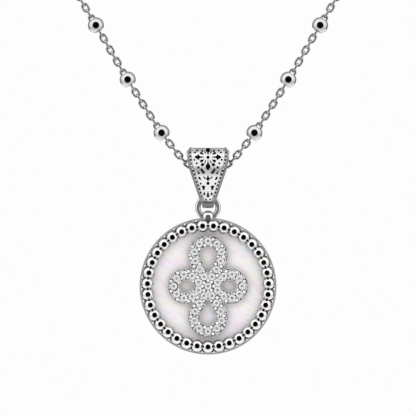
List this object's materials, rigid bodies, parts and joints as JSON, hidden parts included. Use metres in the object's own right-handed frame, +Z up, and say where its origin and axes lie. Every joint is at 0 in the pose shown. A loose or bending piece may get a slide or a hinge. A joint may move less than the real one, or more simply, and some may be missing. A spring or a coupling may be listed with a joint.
{
  "type": "disc pendant necklace",
  "caption": "Round silver disc pendant with a ball border, mother-of-pearl inlay and a raised pave knot, on a pierced tapered bail and a fine cable chain with round beads.",
  "frame": {"origin": "the nape, in the middle of the clasp, where the necklace hangs on the neck", "axes": "+Z up, -Y towards the front of the pendant, X across"},
  "size_m": [0.1184, 0.1148, 0.1453],
  "materials": {
    "polished_silver": "high polish, darkened in recesses",
    "mother_of_pearl": "glossy, with soft pink, blue and cream streaks",
    "clear_stone": "faceted and polished"
  },
  "bodies": {
    "necklace": {"chain": "polished_silver", "station_beads": "polished_silver", "clasp": "polished_silver"},
    "hanging_bail": {"bail": "polished_silver"},
    "linking_ring": {"jump_ring": "polished_silver"},
    "hanging_pendant": {"pendant_frame": "polished_silver", "pearl_disc": "mother_of_pearl", "knot_plate": "polished_silver", "stone_01": "clear_stone", "stone_02": "clear_stone", "stone_03": "clear_stone", "stone_04": "clear_stone", "stone_05": "clear_stone", "stone_06": "clear_stone", "stone_07": "clear_stone", "stone_08": "clear_stone", "stone_09": "clear_stone", "stone_10": "clear_stone", "stone_11": "clear_stone", "stone_12": "clear_stone", "stone_13": "clear_stone", "stone_14": "clear_stone", "stone_15": "clear_stone", "stone_16": "clear_stone", "stone_17": "clear_stone", "stone_18": "clear_stone", "stone_19": "clear_stone", "stone_20": "clear_stone", "stone_21": "clear_stone", "stone_22": "clear_stone", "stone_23": "clear_stone", "stone_24": "clear_stone", "stone_25": "clear_stone", "stone_26": "clear_stone", "stone_27": "clear_stone", "stone_28": "clear_stone", "stone_29": "clear_stone", "stone_30": "clear_stone", "stone_31": "clear_stone", "stone_32": "clear_stone", "stone_33": "clear_stone", "stone_34": "clear_stone", "stone_35": "clear_stone", "stone_36": "clear_stone", "stone_37": "clear_stone", "stone_38": "clear_stone", "stone_39": "clear_stone", "stone_40": "clear_stone", "stone_41": "clear_stone"}
  },
  "joints": [
    {"name": "bail_swing", "type": "hinge", "parent": "necklace", "child": "hanging_bail", "pos_m": [0, -0.112, -0.1156], "axis": [1, 0, 0], "range_deg": [-60, 60]},
    {"name": "ring_swing", "type": "hinge", "parent": "hanging_bail", "child": "linking_ring", "pos_m": [0, -0.112, -0.1202], "axis": [1, 0, 0], "range_deg": [-25, 25]},
    {"name": "pendant_swing", "type": "hinge", "parent": "linking_ring", "child": "hanging_pendant", "pos_m": [0, -0.112, -0.12316], "axis": [1, 0, 0], "range_deg": [-45, 45]}
  ]
}
